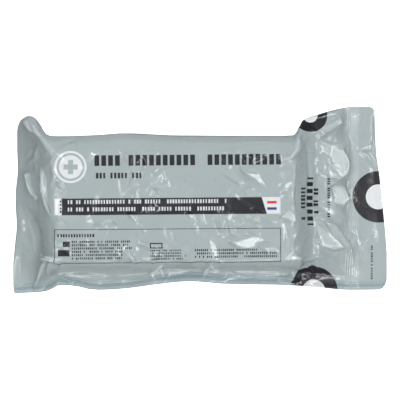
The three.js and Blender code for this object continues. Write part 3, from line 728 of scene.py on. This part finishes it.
def add_pleats(lift, tilt, rim):
    """Pleats run down the steep long sides."""
    steep = 1 - step_up(tilt, *SIDE_TILT)
    steep *= 0.7 * step_up(rim, 3, 12)
    large, small = noise_field(tilt.shape, (34, 5), 31), noise_field(tilt.shape, (70, 9), 32)
    lift += PLEATS * steep * np.abs(large) + SMALL_PLEATS * steep * small


def add_seal(lift, x, y):
    """The ribs of the sealing bar, and the knurling of its jaws at two corners of the tear flap."""
    in_seal = step_up(x, SEAL_START, SEAL_START + 1) * (1 - step_up(x, SEAL_END - 1, SEAL_END))
    ribs = RIB_HEIGHT + FIRST_RIB_HEIGHT * (1 - step_up(x, FIRST_RIBS, LOW_RIBS))
    lift += ribs * in_seal * np.sin(2 * np.pi * x / RIB_PITCH)
    wave_x, wave_y = np.sin(2 * np.pi * x / KNURL_PITCH), np.sin(2 * np.pi * y / KNURL_PITCH)
    for left, right, low, high in KNURLS:
        patch = (x > left) & (x < right) & (y > low) & (y < high)
        lift += KNURL_HEIGHT * patch * wave_x * wave_y


def folds_of(base, empty, rim):
    """How far the film stands out of the smooth wall before it is let go, and how much slack it has."""
    x, y = base[..., 0], base[..., 1]
    tilt = normals(base)[..., 2]
    face = step_up(tilt, *FACE_TILT) * (1 - empty)
    flap = step_up(x, SEAL_START - 2, SEAL_END)
    fade = step_up(rim, 0, RIM_FADE)
    lift = ridge_heights(CREASES, x, y) - ridge_heights(GROOVES, x, y)
    add_random_folds(lift, x, y, face, empty, flap)
    add_edge_folds(lift, x, y)
    add_pleats(lift, tilt, rim)
    add_seal(lift, x, y)
    lift = lift * (1 - face) + FACE_RELIEF * np.tanh(lift / FACE_RELIEF) * face
    slack = slack_at(x, y) * (0.3 + 0.7 * fade)
    slack *= 1 - 0.9 * flap
    lift, slack = flattened(base, lift, slack)
    return lift * fade, slack


def back_wall(loop, u, base, front, empty, rim):
    """The back wall. It lies flat under the pack and follows the front wall in the empty film."""
    back = even_rows(plan_grid(loop, u, np.linspace(0, 1, 2 * ROWS)), ROWS)
    back[..., :2] = base[..., :2]
    back = drop_on(back, BVHTree.FromBMesh(solid_mesh("back_film")), 1)
    back[:, [0, -1], 2] = back[:, [1, -2], 2]
    back[[0, -1], :, 2] = back[[1, -2], :, 2]
    risen = back[..., 2:] > 0.2
    back += ((front - base) * empty[..., None]) * risen
    welded = front[..., 2] - (SHEET + WELD_GAP + SHEET)
    back[..., 2] = np.where(rim < 2, welded, np.minimum(back[..., 2], welded))
    back[..., 2] = np.maximum(back[..., 2], 0)
    return back


def make_film():
    """The outer faces of both walls, and each point's shares of the plan and its painted fold highlight."""
    solid = solid_mesh("front_film")
    loop = outline_loop(solid)
    u = columns_at(COLUMNS)
    base = plan_grid(loop, u, np.linspace(0, 1, 2 * ROWS))
    base = drop_on(base, BVHTree.FromBMesh(solid), -1)
    base = smooth(even_rows(base, ROWS), 14)
    x, y = base[..., 0], base[..., 1]
    rim = rim_steps(x.shape)
    beside = np.maximum.reduce([pack_low[0] - x, x - pack_high[0], pack_low[1] - y, y - pack_high[1]])
    empty = step_up(beside, 3, 14)

    lift, slack = folds_of(base, empty, rim)
    front = crumpled(base, slack, EMPTY_ROOM * empty * step_up(rim, 0, RIM_FADE), lift)
    front[..., 2] = np.minimum(front[..., 2], box_high[2] + TOP_ROOM)
    front = lifted_off(front, BVHTree.FromBMesh(solid_mesh("folded_pad")), PACK_ROOM)

    # Painted highlights along the sharp folds.
    fold_highlight = ridge_heights(PAINTED_FOLD_HIGHLIGHTS, front[..., 0], front[..., 1])
    plan = np.stack([*plan_shares(x, y), fold_highlight, np.zeros_like(x)], axis=-1)
    return front, back_wall(loop, u, base, front, empty, rim), plan


# Materials


class Shading:
    """Builds a material's nodes from short calls."""

    def __init__(self, name):
        self.material = bpy.data.materials.new(name)
        self.material.use_nodes = True
        self.tree = self.material.node_tree
        self.shader = self.tree.nodes["Principled BSDF"]

    def node(self, kind, inputs=(), **settings):
        """A new node. Each input is a value or another node's output."""
        node = self.tree.nodes.new(kind)
        for key, value in settings.items():
            setattr(node, key, value)
        for key, value in dict(inputs).items():
            self.put(node.inputs[key], value)
        return node

    def put(self, socket, value):
        if isinstance(value, bpy.types.NodeSocket):
            self.tree.links.new(value, socket)
        else:
            socket.default_value = value

    def math(self, operation, *values):
        node = self.node("ShaderNodeMath", enumerate(values), operation=operation)
        return node.outputs[0]

    def mix(self, share, low, high):
        node = self.node("ShaderNodeMix", data_type="RGBA")
        self.put(node.inputs["Factor"], share)
        self.put(node.inputs["A"], low)
        self.put(node.inputs["B"], high)
        return node.outputs["Result"]

    def between(self, value, low, high):
        """1 between low and high, 0 outside."""
        above = self.math("GREATER_THAN", value, low)
        return self.math("MULTIPLY", above, self.math("LESS_THAN", value, high))

    def bar(self, x, y, low, high):
        """1 in the rectangle between two corners, 0 outside."""
        return self.math("MULTIPLY", self.between(x, low[0], high[0]), self.between(y, low[1], high[1]))

    def most(self, masks):
        """1 where any of the masks is."""
        total = masks[0]
        for mask in masks[1:]:
            total = self.math("MAXIMUM", total, mask)
        return total

    def noise(self, vector, scale, detail=2.0, roughness=0.5):
        values = {"Vector": vector, "Scale": scale, "Detail": detail, "Roughness": roughness}
        return self.node("ShaderNodeTexNoise", values).outputs["Fac"]

    def random(self, key):
        return self.node("ShaderNodeTexWhiteNoise", {"W": key}, noise_dimensions="1D").outputs["Value"]

    def layer(self, name):
        """The two numbers that a mesh keeps in one of its UV layers."""
        vector = self.node("ShaderNodeUVMap", uv_map=name).outputs[0]
        return self.node("ShaderNodeSeparateXYZ", {"Vector": vector}).outputs

    def relief(self, height, strength, distance):
        """Gives the surface this relief, without moving it."""
        values = {"Height": height, "Strength": strength, "Distance": distance}
        bump = self.node("ShaderNodeBump", values)
        self.put(self.shader.inputs["Normal"], bump.outputs[0])


PRINT_TURN = math.radians(0.45)  # the slight turn of the print on the pouch


def print_coordinates(s):
    """x and y on the film in millimetres, and the same in the print, which is turned a little."""
    plan = s.layer("plan")
    x = s.math("MULTIPLY_ADD", plan[0], LENGTH, box_low[0])
    y = s.math("MULTIPLY_ADD", plan[1], WIDTH, box_low[1])
    cos, sin = math.cos(PRINT_TURN), math.sin(PRINT_TURN)
    turned_x = s.math("MULTIPLY_ADD", x, cos, s.math("MULTIPLY", y, sin))
    turned_y = s.math("MULTIPLY_ADD", x, -sin, s.math("MULTIPLY", y, cos))
    return x, y, turned_x, turned_y


# Blocks that stand for lines of words. Each row is one group of lines: left, right, top, pitch from line
# to line, number of lines, height of the blocks, width of one with its gap, seed.
GREEK_DARK = [
    (-90.6, -65.6, -20.9, 3.0, 1, 2.0, 1.7, 2),
    (-81.6, -40.0, -25.2, 2.1, 6, 1.3, 1.25, 3),
    (-31.7, -8.4, -31.2, 1.75, 4, 1.1, 1.1, 4),
    (-3.5, 49.4, -31.0, 2.1, 3, 1.3, 1.25, 5),
    (-66.0, -37.0, 17.9, 4.0, 1, 3.6, 2.3, 6),
]
GREEK_LIGHT = [
    (-84.0, 36.0, 0.7, 4.7, 2, 2.5, 1.75, 8),
]
# The same, for lines that run up the film. left and right are measured along the line, from -Y to +Y.
GREEK_UPWARD = [
    (-12.5, 9.3, -64.3, 4.0, 1, 3.0, 2.4, 9),
    (-8.6, 8.0, -72.8, 4.0, 1, 3.0, 2.4, 10),
    (-12.5, 13.8, -81.6, 3.0, 1, 1.8, 1.5, 11),
    (-52.0, -28.5, -109.8, 3.0, 1, 1.2, 1.1, 12),
]
GREEK_LABEL = (-8.0, 0.8, 89.0, 4.0, 1, 2.8, 2.2, 13)
# The same for the large line: where each group starts, and its number of blocks.
TITLE = [(-66.9, 4), (-45.2, 10), (5.0, 11)]
TITLE_LOW = 22.3
TITLE_HIGH = 29.0
TITLE_BLOCK = 4.35
TITLE_DUTY = 0.7

# Bars of the print, each from its lower left corner to its upper right one.
BAND = ((-87.7, -8.9), (60, 1.7))
BAND_SLANT = 0.3
BAND_END = 39.6  # where its slanting end crosses y = 0
BAND_LABEL = ((-92.5, -8.9), (-88.1, 1.7))
BAND_TAIL = ((30, -8.9), (50.9, 1.7))
BOX, BOX_INSIDE = ((-92.5, -39.6), (50.9, -17.9)), ((-92.1, -39.2), (50.5, -18.3))
FIELDS = [((-87.2, -29.0), (-82.8, -25.6)), ((-90.4, -35.0), (-83.0, -31.0))]
FRAME, FRAME_INSIDE = ((-32.0, -30.4), (-24.0, -26.9)), ((-31.3, -29.7), (-24.7, -27.6))
BEADS = ((68.6, -16.0), (72.2, 14.4))
BEAD_PITCH = 4.4
BEAD_DUTY = 0.6
RED_BAR = ((42.5, -2.4), (48.5, -0.8))
NAVY_BAR = ((42.5, -6.4), (48.5, -4.8))

# The round badge with its plus, and the plain rings that the pouch's edges cut off.
BADGE = (-82.2, 21.1)
BADGE_RADII = (10.2, 8.8, 7.4)
PLUS = [((-83.8, 16.6), (-80.6, 25.6)), ((-86.7, 19.5), (-77.7, 22.7))]
EDGE_RINGS = [
    # x, y, radius outside, radius inside
    (114.5, 2, 16.5, 8),
    (70.5, 54.5, 11, 5),
    (73, -58.5, 15.5, 7.5),
]


def greek(s, x, y, row):
    """Lines of small blocks, with gaps between groups of them, that stand for small print."""
    left, right, top, pitch, lines, height, block, seed = row
    down = s.math("MULTIPLY_ADD", y, -1 / pitch, top / pitch)
    line = s.math("FLOOR", down)
    inside = s.math("LESS_THAN", s.math("FRACT", down), height / pitch)
    along = s.math("MULTIPLY_ADD", x, 1 / block, -left / block)
    cell = s.math("FLOOR", along)
    key = s.math("MULTIPLY_ADD", line, 57.0, s.math("ADD", cell, seed * 101.0))
    random = s.random(key)
    wide = s.math("MULTIPLY_ADD", random, 0.3, 0.42)
    filled = s.math("LESS_THAN", s.math("FRACT", along), wide)
    word = s.math("GREATER_THAN", random, 0.16)
    ragged = s.random(s.math("ADD", line, seed * 3.7))
    count = (right - left) / block
    reach = s.math("MULTIPLY_ADD", ragged, -0.22 * count if lines > 1 else 0.0, count - 0.5)
    area = s.math("MULTIPLY", s.math("GREATER_THAN", cell, -0.5), s.math("LESS_THAN", cell, reach))
    area = s.math("MULTIPLY", area, s.between(down, 0.0, float(lines)))
    return s.math("MULTIPLY", s.math("MULTIPLY", area, inside), s.math("MULTIPLY", filled, word))


def print_masks(s, px, py, x, y):
    """Masks of the dark, white, red and navy print. px, py follow the film, and x, y the print."""
    upward = (py, s.math("MULTIPLY", px, -1.0))
    dark = [greek(s, x, y, row) for row in GREEK_DARK]
    dark += [greek(s, *upward, row) for row in GREEK_UPWARD]

    for left, count in TITLE:
        along = s.math("MULTIPLY_ADD", x, 1 / TITLE_BLOCK, -left / TITLE_BLOCK)
        block = s.math("LESS_THAN", s.math("FRACT", along), TITLE_DUTY)
        dark.append(s.math("MULTIPLY", s.bar(along, y, (0, TITLE_LOW), (count, TITLE_HIGH)), block))

    slant = s.math("MULTIPLY_ADD", y, BAND_SLANT, x)
    band = s.math("MULTIPLY", s.bar(x, y, *BAND), s.math("LESS_THAN", slant, BAND_END))
    light = s.most([greek(s, x, y, row) for row in GREEK_LIGHT])
    for outside, inside in ((BOX, BOX_INSIDE), (FRAME, FRAME_INSIDE)):
        dark.append(s.math("SUBTRACT", s.bar(x, y, *outside), s.bar(x, y, *inside)))
    dark += [s.bar(x, y, *field) for field in FIELDS]
    beads = s.math("FRACT", s.math("MULTIPLY", py, 1 / BEAD_PITCH))
    dark.append(s.math("MULTIPLY", s.bar(px, py, *BEADS), s.math("LESS_THAN", beads, BEAD_DUTY)))

    def disc(cx, cy, radius):
        dx, dy = s.math("SUBTRACT", px, cx), s.math("SUBTRACT", py, cy)
        size = s.math("ADD", s.math("MULTIPLY", dx, dx), s.math("MULTIPLY", dy, dy))
        return s.math("LESS_THAN", size, radius * radius)

    edge_dark = s.most([disc(cx, cy, outside) for cx, cy, outside, _ in EDGE_RINGS])
    edge_white = s.most([disc(cx, cy, inside) for cx, cy, _, inside in EDGE_RINGS])

    outside, middle, inside = (disc(*BADGE, radius) for radius in BADGE_RADII)
    ring = s.math("SUBTRACT", outside, middle)
    plus = s.most([s.bar(px, py, *bar) for bar in PLUS])
    badge = s.math("MULTIPLY", inside, s.math("SUBTRACT", 1.0, plus))
    label = s.bar(x, y, *BAND_LABEL)
    tail = s.math("MULTIPLY", s.bar(x, y, *BAND_TAIL), s.math("GREATER_THAN", slant, BAND_END))

    on_label = s.math("MULTIPLY", greek(s, *upward, GREEK_LABEL), label)
    dark_all = s.math("SUBTRACT", s.most(dark + [band, edge_dark]), s.math("MAXIMUM", light, edge_white))
    dark_all = s.math("MAXIMUM", dark_all, on_label)
    on_band = s.math("MULTIPLY", s.math("MULTIPLY", light, band), BAND_LIGHT)
    white = s.most([ring, badge, label, tail, edge_white, on_band])
    white = s.math("SUBTRACT", white, on_label)
    return dark_all, white, s.bar(x, y, *RED_BAR), s.bar(x, y, *NAVY_BAR)


SIDE_SEAL_STRIPES = [(0.0, 0.6), (1.9, 3.9), (4.7, 5.1)]  # from the long edge inwards
CUT_EDGE = 0.5
SEAL_TONE = (0.25, 0.36, 0.4, 1)
FILM_COLOUR = (0.42, 0.487, 0.498, 1)
# painted sheen: the welded band is lightened for the glints of its fine ribs
SEAL_SHEEN_WHITE = (0.75, 0.8, 0.82, 1)
PRINT_DARK = (0.014, 0.015, 0.02, 1)
# white of the print, and also of the painted highlights along the sharp folds
PRINT_AND_HIGHLIGHT_WHITE = (0.83, 0.87, 0.9, 1)
PRINT_RED = (0.75, 0.03, 0.03, 1)
PRINT_NAVY = (0.05, 0.06, 0.2, 1)

# How much of each colour there is where it lies on another.
# share of the painted sheen over the welded band
SEAL_SHEEN_SHARE = 0.16
STRIPE_SHARE = 0.75
CUT_SHARE = 0.4
WHITE_SHARE = 0.95
BAND_LIGHT = 0.75


def toned(colour, tone):
    """A colour, darker or lighter by this factor."""
    return [min(1, c * tone) for c in colour[:3]] + [1]


def film_material(name, printed):
    """Semi-gloss film with its seal stripes, painted fold highlights, a painted seal sheen and, on the
    front, its print.
    """
    s = Shading(name)
    px, py, x, y = print_coordinates(s)
    place = s.node("ShaderNodeCombineXYZ", {"X": px, "Y": py}).outputs[0]
    cloud = s.noise(place, 0.05, 3.0)
    colour = s.mix(cloud, toned(FILM_COLOUR, 0.94), toned(FILM_COLOUR, 1.05))
    # Painted sheen over the welded band, for the glints of its fine ribs.
    seal_sheen = s.between(px, SEAL_START, SEAL_END)
    colour = s.mix(s.math("MULTIPLY", seal_sheen, SEAL_SHEEN_SHARE), colour, SEAL_SHEEN_WHITE)
    # Painted highlights: the film's colour is whitened along the sharp folds.
    colour = s.mix(s.layer("fold")[0], colour, PRINT_AND_HIGHLIGHT_WHITE)
    # The side seal's stripes and the film's cut edge are darker and greener.
    side = s.layer("side")
    to_end = s.math("MULTIPLY", side[0], LENGTH)
    to_side = s.math("MULTIPLY", side[1], WIDTH)
    cut = s.math("LESS_THAN", s.math("MINIMUM", to_side, to_end), CUT_EDGE)
    stripes = s.most([s.between(to_side, low, high) for low, high in SIDE_SEAL_STRIPES])
    stripes = s.math("MULTIPLY", stripes, STRIPE_SHARE)
    darker = s.math("MAXIMUM", stripes, s.math("MULTIPLY", cut, CUT_SHARE))
    colour = s.mix(darker, colour, SEAL_TONE)
    if printed:
        dark, white, red, navy = print_masks(s, px, py, x, y)
        colour = s.mix(dark, colour, PRINT_DARK)
        colour = s.mix(s.math("MULTIPLY", white, WHITE_SHARE), colour, PRINT_AND_HIGHLIGHT_WHITE)
        colour = s.mix(red, colour, PRINT_RED)
        colour = s.mix(navy, colour, PRINT_NAVY)
    s.put(s.shader.inputs["Base Color"], colour)

    # Wrinkles that are finer than the mesh.
    off = s.math("SUBTRACT", s.noise(place, 0.35, 4.0, 0.6), 0.5)
    ridged = s.math("SQRT", s.math("MULTIPLY_ADD", off, off, 0.001))
    s.relief(ridged, 0.35, 0.0008)
    gloss = s.noise(place, 0.12, 2.0)
    s.put(s.shader.inputs["Roughness"], s.math("MULTIPLY_ADD", gloss, 0.1, 0.24))
    s.shader.inputs["Specular IOR Level"].default_value = 0.5
    s.shader.inputs["Coat Weight"].default_value = 0.8
    s.shader.inputs["Coat Roughness"].default_value = 0.11
    return s.material


def cloth_material(name, colour, scale):
    """Woven cloth. scale says how fine its threads are."""
    s = Shading(name)
    place = s.node("ShaderNodeTexCoord").outputs["Object"]
    values = {"Vector": place, "Scale": scale, "Distortion": 1.5, "Detail": 2.0}
    threads = s.node("ShaderNodeTexWave", values).outputs["Fac"]
    tone = s.math("MULTIPLY_ADD", threads, 0.3, 0.7)
    s.put(s.shader.inputs["Base Color"], s.mix(tone, toned(colour, 0.7), colour))
    s.relief(threads, 0.5, 0.0004)
    s.shader.inputs["Roughness"].default_value = 0.95
    return s.material


def plastic_material(name):
    """Dull moulded plastic."""
    s = Shading(name)
    place = s.node("ShaderNodeTexCoord").outputs["Object"]
    grain = s.noise(place, 900.0, 3.0)
    s.put(s.shader.inputs["Base Color"], s.mix(grain, (0.04, 0.05, 0.05, 1), (0.06, 0.07, 0.07, 1)))
    s.relief(grain, 0.2, 0.0001)
    s.shader.inputs["Roughness"].default_value = 0.5
    return s.material


# Pieces

front, back, plan = make_film()
printed_film = film_material("printed_film", True)
plain_film = film_material("plain_film", False)

front_piece = sheet_object("front_wall", front, SHEET, plan)
front_piece.data.materials.append(printed_film)
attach(front_piece, "root")
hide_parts("front_film")

back_piece = sheet_object("back_wall", back[::2, ::2], -SHEET, plan[::2, ::2])
back_piece.data.materials.append(plain_film)
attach(back_piece, "root")
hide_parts("back_film")

for node, material in (
    ("folded_pad", cloth_material("pad_cloth", (0.82, 0.8, 0.74, 1), 900)),
    ("wrap_roll", cloth_material("elastic_wrap", (0.15, 0.17, 0.1, 1), 700)),
    ("pressure_applicator", plastic_material("applicator_plastic")),
):
    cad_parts[node].data.materials.clear()
    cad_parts[node].data.materials.append(material)

# Floor, light and camera


LIGHTS = [
    # name, place, size, power, whether the film mirrors it
    ("scrim", (0, 0, 1.2), (2.6, 2.2), 2.75, True),
    ("far_box", (0, 1.15, 0.5), (1.0, 0.4), 8.0, False),
    ("near_box", (0, -1.15, 0.5), (1.0, 0.4), 3.4, False),
    ("left_low", (-0.9, -0.7, 0.5), (0.6, 0.6), 2.2, False),
    ("near_low", (0.1, -0.8, 1.0), (0.5, 0.14), 1.3, True),
    ("right_low", (1.05, -0.45, 0.5), (0.4, 1.0), 1.8, False),
    ("right_lamp", (0.55, 0.15, 1.1), (0.3, 0.3), 2.4, True),
    ("left_lamp", (-0.5, -0.1, 1.1), (0.25, 0.25), 1.2, True),
    ("near_lamp", (0.3, -0.5, 1.1), (0.2, 0.2), 1.45, True),
    ("far_lamp", (-0.35, 0.45, 1.1), (0.16, 0.16), 1.15, True),
]
AIM = Vector((0, 0, 0.02))
FLOOR_SIZE = 12


def area_light(name, place, size, power, mirrored):
    """A soft box that points at the pouch. One that isn't mirrored lights it without a highlight."""
    data = bpy.data.lights.new(name, "AREA")
    data.shape = "RECTANGLE"
    data.size, data.size_y = size
    data.energy = power
    light = bpy.data.objects.new(name, data)
    light.location = place
    light.rotation_euler = (AIM - Vector(place)).to_track_quat("-Z", "Y").to_euler()
    light.visible_camera = False
    light.visible_glossy = mirrored
    bpy.context.collection.objects.link(light)


bpy.ops.mesh.primitive_plane_add(size=FLOOR_SIZE, location=(0, 0, -0.0005))
floor = bpy.context.object
floor.name = "floor"
floor_white = Shading("floor_white")
floor_white.shader.inputs["Base Color"].default_value = (1, 1, 1, 1)
floor_white.shader.inputs["Emission Color"].default_value = (1, 1, 1, 1)
floor_white.shader.inputs["Emission Strength"].default_value = 1.0
floor.data.materials.append(floor_white.material)
floor.visible_diffuse = False
floor.visible_glossy = False

for light in LIGHTS:
    area_light(*light)

# The room is dim, and the white table throws light up from below.
ROOM_GLOW = 0.12
TABLE_GLOW = 0.22
world = bpy.data.worlds.new("studio")
world.use_nodes = True
sky = world.node_tree.nodes
up = sky.new("ShaderNodeSeparateXYZ")
world.node_tree.links.new(sky.new("ShaderNodeTexCoord").outputs["Generated"], up.inputs[0])
bounce = sky.new("ShaderNodeMapRange")
world.node_tree.links.new(up.outputs["Z"], bounce.inputs["Value"])
glow = (("From Min", -0.15), ("From Max", 0.05), ("To Min", TABLE_GLOW), ("To Max", ROOM_GLOW))
for key, value in glow:
    bounce.inputs[key].default_value = value
world.node_tree.links.new(bounce.outputs[0], sky["Background"].inputs["Strength"])
sky["Background"].inputs["Color"].default_value = (1, 1, 1, 1)
bpy.context.scene.world = world

VIEW_WIDTH = 256.0  # how much of the table the picture shows
CAMERA_HEIGHT = 2400.0
SENSOR = 36.0
camera_data = bpy.data.cameras.new("camera")
camera_data.sensor_width = SENSOR
camera_data.lens = SENSOR * (CAMERA_HEIGHT - box_high[2] / 2) / VIEW_WIDTH
camera_data.clip_end = 20
camera = bpy.data.objects.new("camera", camera_data)
camera.location = (0, 0, CAMERA_HEIGHT * MM)
bpy.context.collection.objects.link(camera)
bpy.context.scene.camera = camera
bpy.context.scene.view_settings.view_transform = "Standard"
